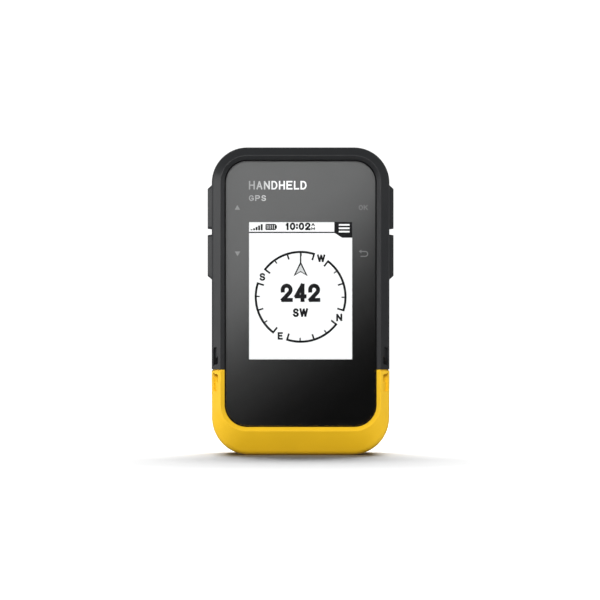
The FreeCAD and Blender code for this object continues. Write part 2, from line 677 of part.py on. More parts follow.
# ---- battery cover and latch --------------------------------------------------------------
def make_cover(outer):
    inner = BACK - COVER_THICK
    plate = sheared(COVER_HALF, COVER_Z, COVER_CORNER, (inner, BACK + 2)).common(outer)
    neck = box((-RAIL_NECK, RAIL_NECK), (BACK - 0.5, RAIL_BACK - 1.0), RAIL_Z)
    head_y = (BACK + RAIL_GAP, RAIL_BACK)
    head = box((-RAIL_HEAD, RAIL_HEAD), head_y, RAIL_Z)
    head = head.makeFillet(0.6, [e for e in head.Edges if abs(e.tangentAt(0).z) > 0.99])
    stop_z = (RAIL_Z[0] - RAIL_STOP, RAIL_Z[0])
    stop = box((-RAIL_HEAD, RAIL_HEAD), (BACK - 0.5, RAIL_BACK), stop_z)
    boss = rod_y(0, (BOSS_END, inner + 0.5), LATCH_Z, BOSS_R)
    cover = plate.fuse([neck, head, stop, boss])
    cover = cover.cut(rod_y(0, (DISH_FLOOR, BACK + 5), LATCH_Z, DISH_R))
    cover = cover.cut(rod_y(0, (0, BACK + 5), LATCH_Z, BORE_R))
    cover = cover.cut(rod_y(0, (9.9, 10.9), LATCH_Z, BORE_R + 0.9))
    notch = box((-3.0, 3.0), (RAIL_BACK - 1.2, RAIL_BACK + 1), (RAIL_Z[1] - 10, RAIL_Z[1] - 6))
    save("battery_cover", cover.cut(notch).removeSplitter())
    save("battery_seal", seal_ring(0.0, (RECESS - SEAL_DEPTH, inner - 0.05)))


def make_latch():
    head = rod_y(0, (DISH_FLOOR + GAP, HUB_BACK), LATCH_Z, HUB_R)
    rim = [e for e in head.Edges if lies_on(e, lambda p: p.y - HUB_BACK)]
    head = head.makeFillet(0.5, rim)
    hub = head.fuse(rod_y(0, (CAM_Y[1] + 0.02, DISH_FLOOR + 0.5), LATCH_Z, SHAFT_R))
    hub = hub.cut(rod_x((-9, 9), WIRE_Y, LATCH_Z, WIRE_R + 0.05))
    save("latch_hub", hub.cut(rod_y(0, (0, 11.2), LATCH_Z, 1.02)))

    cam = rod_y(0, CAM_Y, LATCH_Z, CAM_R)
    tongue = box((-TONGUE_HALF, TONGUE_HALF), CAM_Y, (LATCH_Z - TONGUE, LATCH_Z))
    save("latch_cam", cam.fuse(tongue).removeSplitter().cut(rod_y(0, (0, BACK), LATCH_Z, 1.05)))
    screw = rod_y(0, (WELL_FLOOR + 0.5, CAM_Y[0]), LATCH_Z, 1.9)
    screw = screw.fuse(rod_y(0, (CAM_Y[0] - 0.2, 10.9), LATCH_Z, 1.0))
    save("latch_screw", screw.cut(cross_slot(0, (0, WELL_FLOOR + 0.9), LATCH_Z, 1.1, 0.25)))
    ring = rod_y(0, (9.95, 10.85), LATCH_Z, BORE_R + 0.85).cut(rod_y(0, (9, 12), LATCH_Z, BORE_R))
    ring = ring.makeFillet(0.25, [e for e in ring.Edges if e.Closed])
    save("latch_o_ring", ring)

    plate = box((-CATCH_HALF, CATCH_HALF), CATCH_Y, CATCH_Z)
    screws = []
    for x, z in CATCH_SCREWS:
        plate = plate.cut(rod_y(x, (0, BACK), z, 0.65))
        shank = rod_y(x, (CATCH_Y[0] - 2.0, CATCH_Y[1] + 0.1), z, 0.58)
        screws.append(shank.fuse(rod_y(x, (CATCH_Y[1], CATCH_Y[1] + 0.45), z, 0.85)))
    save("cover_catch", plate)
    save("catch_screws", Part.makeCompound(screws))
    make_ring()


def make_ring():
    """Bent wire ring: a straight bar through the hub and a bow that hangs below it."""
    inner = WIRE_HALF - WIRE_BEND
    drop = LATCH_Z - WIRE_BEND
    turn = WIRE_BEND * (1 - math.sqrt(0.5))

    def point(x, z):
        return Vector(x, WIRE_Y, z)

    def bend(start, middle, end):
        return Part.Arc(point(*start), point(*middle), point(*end)).toShape()

    shoulder = (WIRE_HALF - turn, LATCH_Z - turn)
    bow = Part.Wire(
        [
            bend((inner, LATCH_Z), shoulder, (WIRE_HALF, drop)),
            bend((WIRE_HALF, drop), (0, drop - WIRE_HALF), (-WIRE_HALF, drop)),
            bend((-WIRE_HALF, drop), (-shoulder[0], shoulder[1]), (-inner, LATCH_Z)),
        ]
    )
    section = Part.Wire(Part.makeCircle(WIRE_R, point(inner, LATCH_Z), Vector(1, 0, 0)))
    bar = rod_x((-inner, inner), WIRE_Y, LATCH_Z, WIRE_R)
    save("d_ring", bar.fuse(bow.makePipeShell([section], True, True)).removeSplitter())


# ---- port ---------------------------------------------------------------------------------
def make_port():
    shell = port_prism(SHELL, 1.5, (BOARD_BACK, PORT_FACE))
    mouth = port_prism(MOUTH, 1.2, (PORT_FACE - MOUTH_DEPTH, PORT_FACE + 1))
    save("usb_shell", shell.cut(mouth))
    tongue_z = grow((PORT_Z, PORT_Z), TONGUE_PLATE[1])
    tongue_y = (PORT_FACE - MOUTH_DEPTH, PORT_FACE - 0.8)
    save("usb_tongue", box((-TONGUE_PLATE[0], TONGUE_PLATE[0]), tongue_y, tongue_z))
    seal_y = (POCKET_FLOOR - 2.3, POCKET_FLOOR - 1.3)
    hole = port_prism((SHELL[0] + 0.02, SHELL[1] + 0.02), 1.5, grow(seal_y, 1))
    save("usb_seal", port_prism((5.8, 2.9), 2.0, seal_y).cut(hole))

    plate = on_slope(CAP[0], (-CAP[1], CAP[1]), 2.5, (-CAP_THICK, 0))
    plug = port_prism((POCKET[0] - 0.2, POCKET[1] - 0.2), 1.5, (POCKET_FLOOR + 0.6, BACK + 2))
    plug = plug.cut(port_prism((SHELL[0] + 0.5, SHELL[1] + 0.5), 1.5, (0, POCKET_FLOOR + 1.4)))
    plug = plug.common(on_slope(FAR / 2, (-FAR, FAR), 1, (-FAR, -CAP_THICK / 2)))
    lip = on_slope(2.6, (-CAP[1], -CAP[1] + 1.4), 0.6, (-0.5, 0.55))
    save("usb_cap", plate.fuse([plug, lip]).removeSplitter())
    save("usb_cap_strap", on_slope(STRAP_HALF, (CAP[1] + 0.05, STRAP_END), 0.7, STRAP_Y))


def main():
    os.makedirs("parts", exist_ok=True)
    outer = make_casings()
    make_front_stack()
    make_electronics()
    make_keys()
    make_case_hardware()
    make_batteries()
    make_cover(outer)
    make_latch()
    make_port()


main()
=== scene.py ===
"""Studio scene of a handheld satellite navigator.

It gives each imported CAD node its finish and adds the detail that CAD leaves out. Lengths are
written in millimetres and turned into metres where a mesh is made. Materials, the camera and
the lamps are in metres. The front of the object faces -Y.
"""

import math

import bmesh
import bpy
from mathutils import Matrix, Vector
from mathutils.geometry import delaunay_2d_cdt


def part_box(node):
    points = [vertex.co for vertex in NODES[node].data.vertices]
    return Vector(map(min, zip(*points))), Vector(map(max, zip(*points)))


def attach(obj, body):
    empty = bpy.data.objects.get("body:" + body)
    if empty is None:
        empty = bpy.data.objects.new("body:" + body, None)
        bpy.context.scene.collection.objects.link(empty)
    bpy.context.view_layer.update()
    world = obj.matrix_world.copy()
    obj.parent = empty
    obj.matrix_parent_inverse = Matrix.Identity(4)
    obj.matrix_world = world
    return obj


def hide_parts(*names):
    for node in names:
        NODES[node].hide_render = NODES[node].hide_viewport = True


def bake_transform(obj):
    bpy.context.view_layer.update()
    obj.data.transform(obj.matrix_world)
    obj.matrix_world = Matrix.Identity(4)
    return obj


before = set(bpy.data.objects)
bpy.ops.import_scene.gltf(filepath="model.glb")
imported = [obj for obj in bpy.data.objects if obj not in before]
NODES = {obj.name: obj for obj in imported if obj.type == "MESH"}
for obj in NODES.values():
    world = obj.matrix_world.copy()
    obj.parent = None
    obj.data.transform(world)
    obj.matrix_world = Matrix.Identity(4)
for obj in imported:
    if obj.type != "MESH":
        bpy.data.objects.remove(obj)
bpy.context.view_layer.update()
MM = 0.001


def mm(node):
    """A CAD node's box in millimetres."""
    low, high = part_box(node)
    return low / MM, high / MM


# ---- node materials -----------------------------------------------------------------------
def tree(name):
    """An empty material, its node tree and its output."""
    material = bpy.data.materials.new(name)
    material.use_nodes = True
    nodes = material.node_tree.nodes
    nodes.clear()
    out = nodes.new("ShaderNodeOutputMaterial")
    return material, material.node_tree, out


def node(nt, kind, **values):
    """A new node, with values given to its sockets or, where it has no such socket, to itself."""
    made = nt.nodes.new(kind)
    for key, value in values.items():
        if key in made.inputs:
            made.inputs[key].default_value = value
        else:
            setattr(made, key, value)
    return made


def noise(nt, scale, detail=2.0, rough=0.5, stretch=None):
    """Noise over the object's own coordinates. scale is in features per metre."""
    place = node(nt, "ShaderNodeTexCoord").outputs["Object"]
    if stretch:
        mapping = node(nt, "ShaderNodeMapping")
        mapping.inputs["Scale"].default_value = stretch
        nt.links.new(place, mapping.inputs["Vector"])
        place = mapping.outputs["Vector"]
    made = node(nt, "ShaderNodeTexNoise", Scale=scale, Detail=detail, Roughness=rough)
    nt.links.new(place, made.inputs["Vector"])
    return made.outputs["Fac"]


def ramp(nt, source, stops):
    """Colour ramp through (place, colour) stops."""
    made = nt.nodes.new("ShaderNodeValToRGB")
    elements = made.color_ramp.elements
    while len(elements) < len(stops):
        elements.new(0.5)
    for element, (place, colour) in zip(elements, stops):
        element.position = place
        element.color = (*colour, 1.0)
    nt.links.new(source, made.inputs["Fac"])
    return made.outputs["Color"]


def spread(nt, source, low, high):
    """Takes a reading from 0 to 1 and spreads it from low to high."""
    made = node(nt, "ShaderNodeMapRange")
    made.inputs["To Min"].default_value = low
    made.inputs["To Max"].default_value = high
    nt.links.new(source, made.inputs["Value"])
    return made.outputs["Result"]


def bumped(nt, body, height, strength, distance):
    """Gives a surface shader its relief, in metres."""
    bump = node(nt, "ShaderNodeBump", Strength=strength, Distance=distance)
    nt.links.new(height, bump.inputs["Height"])
    nt.links.new(bump.outputs["Normal"], body.inputs["Normal"])


def finish_of(name, colour, rough, grain, depth, vary, patch, specular=0.5):
    """Moulded or worked surface: grain, slow colour change and uneven gloss."""
    material, nt, out = tree(name)
    body = node(nt, "ShaderNodeBsdfPrincipled")
    body.inputs["Specular IOR Level"].default_value = specular
    slow = noise(nt, patch, 3.0, 0.6)
    dark = tuple(c * (1 - vary) for c in colour)
    light = tuple(min(1.0, c * (1 + vary)) for c in colour)
    shade = ramp(nt, slow, [(0.3, dark), (0.7, light)])
    nt.links.new(shade, body.inputs["Base Color"])
    nt.links.new(spread(nt, slow, rough - 0.05, rough + 0.06), body.inputs["Roughness"])
    bumped(nt, body, noise(nt, grain, 3.0, 0.6), depth * 10, 0.00005)
    nt.links.new(body.outputs["BSDF"], out.inputs["Surface"])
    return material


def brushed(name, colour, rough, stretch=(60, 60, 2600), depth=0.04):
    """Worked or plated metal. stretch is in features per metre along each axis."""
    material, nt, out = tree(name)
    body = node(nt, "ShaderNodeBsdfPrincipled", Metallic=1.0)
    lines = noise(nt, 1.0, 3.0, 0.6, stretch)
    dark = tuple(c * 0.82 for c in colour)
    nt.links.new(ramp(nt, lines, [(0.3, dark), (0.7, colour)]), body.inputs["Base Color"])
    nt.links.new(spread(nt, lines, rough - 0.08, rough + 0.12), body.inputs["Roughness"])
    bumped(nt, body, lines, depth * 10, 0.00002)
    nt.links.new(body.outputs["BSDF"], out.inputs["Surface"])
    return material


def painted_glow(name, colour, strength):
    """Display page that gives off its own light, a painted glow that makes it read white; very
    slightly uneven.
    """
    material, nt, out = tree(name)
    body = node(nt, "ShaderNodeBsdfPrincipled", Roughness=0.6)
    for socket, low, high in (("Base Color", 0.24, 0.25), ("Emission Color", 0.985, 1.0)):
        stops = [(0.3, tuple(c * low for c in colour)), (0.7, tuple(c * high for c in colour))]
        nt.links.new(ramp(nt, noise(nt, 400.0), stops), body.inputs[socket])
    body.inputs["Emission Strength"].default_value = strength
    nt.links.new(body.outputs["BSDF"], out.inputs["Surface"])
    return material


def maths(nt, operation, source, *values):
    """One step of arithmetic on a reading."""
    step = node(nt, "ShaderNodeMath", operation=operation)
    nt.links.new(source, step.inputs[0])
    for socket, value in zip(step.inputs[1:], values):
        socket.default_value = value
    return step.outputs[0]


def mixed(nt, share, first, second):
    """Mix of two shaders. share is how much of the second one shows."""
    mix = node(nt, "ShaderNodeMixShader")
    nt.links.new(share, mix.inputs["Fac"])
    nt.links.new(first.outputs[0], mix.inputs[1])
    nt.links.new(second.outputs[0], mix.inputs[2])
    return mix


def clear_pane(name):
    """Hard-coated window: clear, with the same reflection on both faces and a blackened edge."""
    material, nt, out = tree(name)
    clear = node(nt, "ShaderNodeBsdfTransparent", Color=(0.985, 0.99, 0.99, 1))
    gloss = node(nt, "ShaderNodeBsdfGlossy", Color=(1, 1, 1, 1))
    nt.links.new(spread(nt, noise(nt, 70.0, 4.0, 0.6), 0.02, 0.06), gloss.inputs["Roughness"])
    slant = node(nt, "ShaderNodeLayerWeight", Blend=0.5).outputs["Facing"]
    mirror = maths(nt, "MULTIPLY_ADD", maths(nt, "POWER", slant, 5.0), 0.96, 0.04)
    window = mixed(nt, mirror, clear, gloss)
    split = node(nt, "ShaderNodeSeparateXYZ")
    nt.links.new(node(nt, "ShaderNodeTexCoord").outputs["Normal"], split.inputs["Vector"])
    flat = maths(nt, "GREATER_THAN", maths(nt, "ABSOLUTE", split.outputs["Y"]), 0.3)
    rim = node(nt, "ShaderNodeBsdfDiffuse", Color=(0.003, 0.003, 0.003, 1))
    nt.links.new(mixed(nt, flat, rim, window).outputs[0], out.inputs["Surface"])
    return material


def reading(nt, source, start, end, size, clamp=False):
    """A straight-line reading of one coordinate: 0 at start and size at end."""
    part = node(nt, "ShaderNodeMapRange", clamp=clamp)
    part.inputs["From Min"].default_value = start
    part.inputs["From Max"].default_value = end
    part.inputs["To Max"].default_value = size
    nt.links.new(source, part.inputs["Value"])
    return part.outputs["Result"]


# Painted reflection on the lens's black mask: its brightness from the top left corner to the bottom
# right one.
PAINTED_REFLECTION_LEVELS = (
    (0.04, 0.110), (0.15, 0.108), (0.28, 0.100), (0.36, 0.085), (0.46, 0.0515), (0.54, 0.0295),
    (0.60, 0.0195), (0.67, 0.0100), (0.72, 0.0056), (0.80, 0.0026), (0.87, 0.0025),
)


def ink(name, rough, specular):
    """Start of a flat printed ink: its material, tree and shader, and the object's coordinates."""
    material, nt, out = tree(name)
    body = node(nt, "ShaderNodeBsdfPrincipled", Roughness=rough)
    body.inputs["Specular IOR Level"].default_value = specular
    nt.links.new(body.outputs["BSDF"], out.inputs["Surface"])
    split = node(nt, "ShaderNodeSeparateXYZ")
    nt.links.new(node(nt, "ShaderNodeTexCoord").outputs["Object"], split.inputs["Vector"])
    return material, nt, body, split


def ink_with_painted_reflection(name):
    """Black mask with a painted reflection that runs from mid grey at the top left to black at the
    bottom right.
    """
    material, nt, body, split = ink(name, 0.5, 0.02)
    total = node(nt, "ShaderNodeMath", operation="ADD")
    low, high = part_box("front_lens")
    nt.links.new(reading(nt, split.outputs["X"], low.x, high.x, 0.2875), total.inputs[0])
    nt.links.new(reading(nt, split.outputs["Z"], high.z, low.z, 0.625), total.inputs[1])
    shade = ramp(nt, total.outputs[0], [(place, (level,) * 3) for place, level in PAINTED_REFLECTION_LEVELS])
    nt.links.new(shade, body.inputs["Base Color"])
    return material


def print_tone_ramp(name, across, tones):
    """Screened ink whose tone changes from left to right, between the two X values of across. On the
    title this change is a painted sheen.
    """
    material, nt, body, split = ink(name, 0.55, 0.05)
    along = node(nt, "ShaderNodeMapRange")
    along.inputs["From Min"].default_value, along.inputs["From Max"].default_value = across
    nt.links.new(split.outputs["X"], along.inputs["Value"])
    tone = ramp(nt, along.outputs["Result"], [(place, (tone,) * 3) for place, tone in tones])
    nt.links.new(tone, body.inputs["Base Color"])
    return material


def board_mask(name):
    """Green solder mask over copper: traces show as slightly raised, lighter runs."""
    material, nt, out = tree(name)
    body = node(nt, "ShaderNodeBsdfPrincipled", Roughness=0.32)
    place = node(nt, "ShaderNodeTexCoord").outputs["Object"]
    brick = node(nt, "ShaderNodeTexBrick", Scale=1.0, offset=0.35, squash=0.6, squash_frequency=3)
    brick.inputs["Brick Width"].default_value = 0.0042
    brick.inputs["Row Height"].default_value = 0.0009
    brick.inputs["Mortar Size"].default_value = 0.00012
    turn = node(nt, "ShaderNodeMapping")
    turn.inputs["Rotation"].default_value = (math.pi / 2, 0, 0)
    nt.links.new(place, turn.inputs["Vector"])
    nt.links.new(turn.outputs["Vector"], brick.inputs["Vector"])
    tone = ramp(nt, brick.outputs["Fac"], [(0.2, (0.004, 0.070, 0.030)), (0.8, (0.012, 0.150, 0.060))])
    nt.links.new(tone, body.inputs["Base Color"])
    bumped(nt, body, brick.outputs["Fac"], 0.35, 0.00004)
    nt.links.new(body.outputs["BSDF"], out.inputs["Surface"])
    return material


# Name, colour, roughness, grain per metre, its depth, colour change, patches per metre and,
# where it isn't the usual one, the specular level.
CASE = finish_of("case_plastic", (0.0120, 0.0126, 0.0137), 0.38, 2600, 0.035, 0.10, 90, 0.30)
KEY = finish_of("key_plastic", (0.0125, 0.0131, 0.0143), 0.38, 3200, 0.02, 0.08, 200, 0.30)
COVER = finish_of("cover_plastic", (0.0150, 0.0155, 0.0165), 0.5, 1500, 0.07, 0.10, 90, 0.3)
YELLOW = finish_of("bumper_elastomer", (0.722, 0.430, 0.012), 0.5, 2800, 0.012, 0.03, 60, 0.2)
SILICONE = finish_of("silicone", (0.018, 0.018, 0.020), 0.62, 3500, 0.02, 0.15, 300)
SEAL = finish_of("seal_grey", (0.16, 0.16, 0.17), 0.6, 3500, 0.02, 0.12, 300)
FOAM = finish_of("foam", (0.020, 0.020, 0.021), 0.9, 5200, 0.20, 0.4, 1500)
TAPE = finish_of("tape", (0.006, 0.006, 0.006), 0.85, 4200, 0.08, 0.3, 600)
FRAME_PLASTIC = finish_of("frame_plastic", (0.025, 0.025, 0.028), 0.55, 2200, 0.03, 0.1, 200)
FLEX = finish_of("polyimide", (0.42, 0.15, 0.018), 0.28, 900, 0.02, 0.2, 400)
CREAM = finish_of("cream_plastic", (0.62, 0.56, 0.42), 0.45, 2400, 0.02, 0.08, 300)
CHIP = finish_of("mould_compound", (0.012, 0.012, 0.013), 0.55, 4200, 0.06, 0.25, 500)
CERAMIC = finish_of("fired_ceramic", (0.52, 0.47, 0.38), 0.7, 3600, 0.08, 0.10, 400)
GUIDE = finish_of("light_guide", (0.80, 0.82, 0.84), 0.35, 2000, 0.01, 0.04, 300)
GLASS_BACK = finish_of("display_cell", (0.30, 0.33, 0.32), 0.12, 900, 0.004, 0.10, 250)
PAINTED_REFLECTION_INK = ink_with_painted_reflection("ink_with_painted_reflection")
PRINT_GREY = print_tone_ramp("grey_print", (-0.021, 0.021), [(0.0, 0.225), (1.0, 0.140)])
# The title's tones, darker at its left and lighter at its right: a painted sheen on white print.
TITLE_SHEEN_TONES = [(0.0, 0.27), (0.35, 0.42), (0.75, 0.78), (1.0, 0.88)]
WHITE_PRINT_AND_SHEEN = print_tone_ramp("white_print", (-0.0170, -0.0045), TITLE_SHEEN_TONES)
MARK = finish_of("display_mark", (0.012, 0.012, 0.013), 0.6, 3000, 0.01, 0.15, 500, 0.02)
STEEL = brushed("stainless", (0.46, 0.46, 0.47), 0.27)
STEEL_DARK = brushed("black_steel", (0.055, 0.055, 0.06), 0.36)
TIN = brushed("tin_plate", (0.64, 0.64, 0.61), 0.34, (300, 300, 300))
NICKEL = brushed("nickel", (0.68, 0.67, 0.65), 0.2, (200, 2000, 200))
GOLD = brushed("gold_plate", (0.83, 0.60, 0.22), 0.22, (400, 400, 400))
SILVER = brushed("silvered", (0.78, 0.77, 0.74), 0.4, (900, 900, 900))
SOLDER = brushed("solder", (0.62, 0.63, 0.64), 0.25, (700, 700, 700))
COPPER = brushed("copper_band", (0.66, 0.36, 0.17), 0.30, (900, 900, 900), 0.01)
RAISED = finish_of("raised_mark", (0.055, 0.057, 0.060), 0.6, 3000, 0.02, 0.12, 400)
PAINT = finish_of("pale_paint", (0.45, 0.46, 0.47), 0.6, 3000, 0.02, 0.10, 400)
SLEEVE = finish_of("cell_sleeve", (0.016, 0.034, 0.085), 0.30, 1400, 0.004, 0.04, 160)
BAND = finish_of("cell_band", (0.60, 0.61, 0.63), 0.30, 1400, 0.008, 0.06, 160)
PANE = clear_pane("lens_pane")
# The page and the pointer's grey give off light of their own: painted glow, in place of the light the
# display reflects.
PAGE = painted_glow("display_page", (0.98, 0.98, 0.98), 0.80)
MIST = painted_glow("display_grey", (0.66, 0.67, 0.67), 0.75)
# Near black bead for the groove round the lens: painted shade.
GROOVE_SHADE = finish_of("groove_shade_black", (0.0030, 0.0030, 0.0032), 0.8, 2600, 0.02, 0.2, 300, 0.05)
MASK = board_mask("solder_mask")

FINISHES = {
    CASE: "front_case rear_case",
    YELLOW: "lower_bumper",
    PANE: "front_lens",
    TAPE: "lens_adhesive",
    FOAM: "display_gasket",
    GLASS_BACK: "display_glass",
    GUIDE: "backlight",
    FRAME_PLASTIC: "display_frame",
    FLEX: "display_flex",
    CREAM: "display_connector plunger_up plunger_down plunger_ok plunger_back plunger_power",
    MASK: "main_board",
    STEEL: "board_screws latch_hub latch_screw cover_catch catch_screws d_ring",
    TIN: "rf_shield cpu_shield usb_shell",
    CHIP: "board_components key_switches power_switch usb_tongue",
    CERAMIC: "gps_antenna",
    SILVER: "antenna_patch",
    KEY: "key_up key_down key_ok key_back power_key",
    SILICONE: "left_key_boot right_key_boot latch_o_ring usb_cap",
    SEAL: "case_seal battery_seal usb_seal",
    STEEL_DARK: "case_screws latch_cam",
    BAND: "aa_cell_left aa_cell_right",
    NICKEL: "battery_springs bridge_contact terminal_negative terminal_positive",
    COVER: "battery_cover",
}


def dress(obj, material):
    """Gives an object one material."""
    obj.data.materials.clear()
    obj.data.materials.append(material)


for material, names in FINISHES.items():
    for name in names.split():
        dress(NODES[name], material)


# ---- making pieces ------------------------------------------------------------------------
def add(name, bm, material, body):
    """Turns a mesh in millimetres into a piece that rides on a body, or a free one when no body is
    given.
    """
    bmesh.ops.scale(bm, vec=(MM, MM, MM), verts=bm.verts)
    bmesh.ops.recalc_face_normals(bm, faces=bm.faces)
    data = bpy.data.meshes.new(name)
    bm.to_mesh(data)
    bm.free()
    obj = bpy.data.objects.new(name, data)
    bpy.context.scene.collection.objects.link(obj)
    dress(obj, material)
    if body:
        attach(obj, body)
    return obj


def touching(outlines):
    """The outlines in separate groups: those whose boxes overlap share a group."""
    groups = []
    for outline in outlines:
        xs, zs = zip(*outline)
        box = [min(xs), min(zs), max(xs), max(zs)]
        members = [outline]
        apart = []
        for other, others in groups:
            if box[0] > other[2] or box[1] > other[3] or box[2] < other[0] or box[3] < other[1]:
                apart.append((other, others))
                continue
            box = [min(a, b) for a, b in zip(box[:2], other[:2])] + [
                max(a, b) for a, b in zip(box[2:], other[2:])]
            members = others + members
        groups = apart + [(box, members)]
    return [members for _, members in groups]


def merged(outlines):
    """Points and triangles of the area the outlines cover between them."""
    points, faces = [], []
    for outline in outlines:
        turn = sum(a[0] * b[1] - a[1] * b[0] for a, b in zip(outline, outline[1:] + outline[:1]))
        faces.append(list(range(len(points), len(points) + len(outline))))
        points += [Vector(p) for p in (outline if turn > 0 else outline[::-1])]
    flat, _, cells, _, _, owners = delaunay_2d_cdt(points, [], faces, 1, 0.0001)
    return flat, [cell for cell, owner in zip(cells, owners) if owner]


def plate(outlines, y0, y1, bm=None):
    """Upright outlines in X and Z, merged where they overlap, as closed solids from y0 to y1."""
    bm = bm or bmesh.new()
    for group in touching(outlines):
        flat, cells = merged(group)
        front = [bm.verts.new((p.x, y0, p.y)) for p in flat]
        back = [bm.verts.new((p.x, y1, p.y)) for p in flat]
        uses = {}
        for a, b, c in cells:
            bm.faces.new((front[a], front[b], front[c]))
            bm.faces.new((back[c], back[b], back[a]))
            for edge in ((a, b), (b, c), (c, a)):
                uses.setdefault(frozenset(edge), []).append(edge)
        for used in uses.values():
            if len(used) == 1:
                a, b = used[0]
                bm.faces.new((front[b], front[a], back[a], back[b]))
    bmesh.ops.delete(bm, geom=[v for v in bm.verts if not v.link_faces], context="VERTS")
    return bm


def block(shapes, x, z):
    """Upright rectangle."""
    shapes.append([(x[0], z[0]), (x[1], z[0]), (x[1], z[1]), (x[0], z[1])])


def bar(shapes, a, b, width):
    """Straight stroke from a to b."""
    a, b = Vector(a), Vector(b)
    side = (b - a).orthogonal().normalized() * width / 2
    shapes.append([tuple(a - side), tuple(b - side), tuple(b + side), tuple(a + side)])


def arc(shapes, centre, radius, width, start, end, steps=40):
    """Ring stroke. Angles are clockwise from the top, in degrees."""
    turns = [math.radians(start + (end - start) * i / steps) for i in range(steps + 1)]

    def ring(r):
        return [(centre[0] + r * math.sin(a), centre[1] + r * math.cos(a)) for a in turns]

    shapes.append(ring(radius - width / 2) + ring(radius + width / 2)[::-1])


def rounded(x, z, r, steps=8):
    """Outline of a rectangle with round corners."""
    right, left, foot, top = x[1] - r, x[0] + r, z[0] + r, z[1] - r
    points = []
    for cx, cz, start in ((right, foot, -90), (right, top, 0), (left, top, 90), (left, foot, 180)):
        for i in range(steps + 1):
            a = math.radians(start + 90 * i / steps)
            points.append((cx + r * math.cos(a), cz + r * math.sin(a)))
    return points


def curve(cx, cz, rx, rz, start, end, steps=14):
    """Elliptical run of points. Angles are anticlockwise from +X, in degrees."""
    turns = [math.radians(start + (end - start) * i / steps) for i in range(steps + 1)]
    return [(cx + rx * math.cos(a), cz + rz * math.sin(a)) for a in turns]


# Centre lines of plain capitals and figures in a unit box.
GLYPHS = {
    "0": [curve(0.5, 0.5, 0.5, 0.5, 0, 360, 28)],
    "1": [[(0.12, 0.74), (0.68, 1.0), (0.68, 0.0)]],
    "2": [curve(0.5, 0.71, 0.48, 0.29, 190, -38) + [(0.03, 0.0), (1.0, 0.0)]],
    "4": [[(0.76, 0.0), (0.76, 1.0)], [(0.72, 1.0), (0.0, 0.25), (1.0, 0.25)]],
    ":": [[(0.5, 0.22), (0.5, 0.26)], [(0.5, 0.74), (0.5, 0.78)]],
    "A": [[(0.0, 0.0), (0.5, 1.0), (1.0, 0.0)], [(0.2, 0.32), (0.8, 0.32)]],
    "D": [[(0.0, 0.5), (0.0, 1.0)] + curve(0.45, 0.5, 0.55, 0.5, 90, -90) + [(0.0, 0.0), (0.0, 0.5)]],
    "E": [[(1.0, 1.0), (0.0, 1.0), (0.0, 0.0), (1.0, 0.0)], [(0.0, 0.52), (0.86, 0.52)]],
    "G": [curve(0.5, 0.5, 0.5, 0.5, 38, 318, 22) + [(1.0, 0.16), (1.0, 0.46), (0.58, 0.46)]],
    "H": [[(0.0, 0.0), (0.0, 1.0)], [(1.0, 0.0), (1.0, 1.0)], [(0.0, 0.5), (1.0, 0.5)]],
    "K": [[(0.0, 0.0), (0.0, 1.0)], [(1.0, 1.0), (0.05, 0.4)], [(0.35, 0.6), (1.0, 0.0)]],
    "L": [[(0.0, 1.0), (0.0, 0.0), (1.0, 0.0)]],
    "M": [[(0.0, 0.0), (0.0, 1.0), (0.5, 0.2), (1.0, 1.0), (1.0, 0.0)]],
    "N": [[(0.0, 0.0), (0.0, 1.0), (1.0, 0.0), (1.0, 1.0)]],
    "O": [curve(0.5, 0.5, 0.5, 0.5, 0, 360, 28)],
    "P": [[(0.0, 0.0), (0.0, 1.0)] + curve(0.6, 0.73, 0.4, 0.27, 90, -90) + [(0.0, 0.46)]],
    "S": [curve(0.5, 0.75, 0.46, 0.25, 18, 262) + curve(0.5, 0.25, 0.5, 0.25, 82, -164)],
    "W": [[(0.0, 1.0), (0.25, 0.0), (0.5, 1.0), (0.75, 0.0), (1.0, 1.0)]],
}
# Widths of the glyphs that aren't as wide as the rest.
WIDTHS = {"1": 0.62, ":": 0.34, "M": 1.2, "W": 1.45, "L": 0.85, "O": 1.05, "G": 1.05}


def stroke(shapes, points, width):
    """Thick run through the points: mitred at gentle turns, square at sharp ones and at the ends."""
    half = width / 2
    points = [Vector(p) for p in points]
    ways = [(b - a).normalized() for a, b in zip(points, points[1:])]
    last = len(ways)
    closed = (points[0] - points[-1]).length < 1e-6

    def turn(i):
        """Cosine of the turn at point i, or None at a free end."""
        return ways[i - 1].dot(ways[i % last]) if 0 < i < last or closed else None

    def edge(i, way, end):
        """The two edge points at point i, for a segment that starts (-1) or ends (1) there."""
        if turn(i) is not None and turn(i) > 0.5:
            across = (ways[i - 1] + ways[i % last]).normalized().orthogonal()
            across *= half / across.dot(way.orthogonal())
            return points[i] - across, points[i] + across
        reach = 0.7 if turn(i) is not None and turn(i) < -0.1 else 1.0
        place = points[i] + way * half * reach * end
        return place - way.orthogonal() * half, place + way.orthogonal() * half

    breaks = [0] + [i for i in range(1, last) if turn(i) <= 0.5] + [last]
    if closed and len(breaks) == 2:
        breaks.insert(1, last // 2)
    for first, final in zip(breaks, breaks[1:]):
        pairs = [edge(first, ways[first], -1)]
        pairs += [edge(i, ways[i], 1) for i in range(first + 1, final)]
        pairs.append(edge(final, ways[final - 1], 1))
        shapes.append([tuple(a) for a, _ in pairs] + [tuple(b) for _, b in reversed(pairs)])


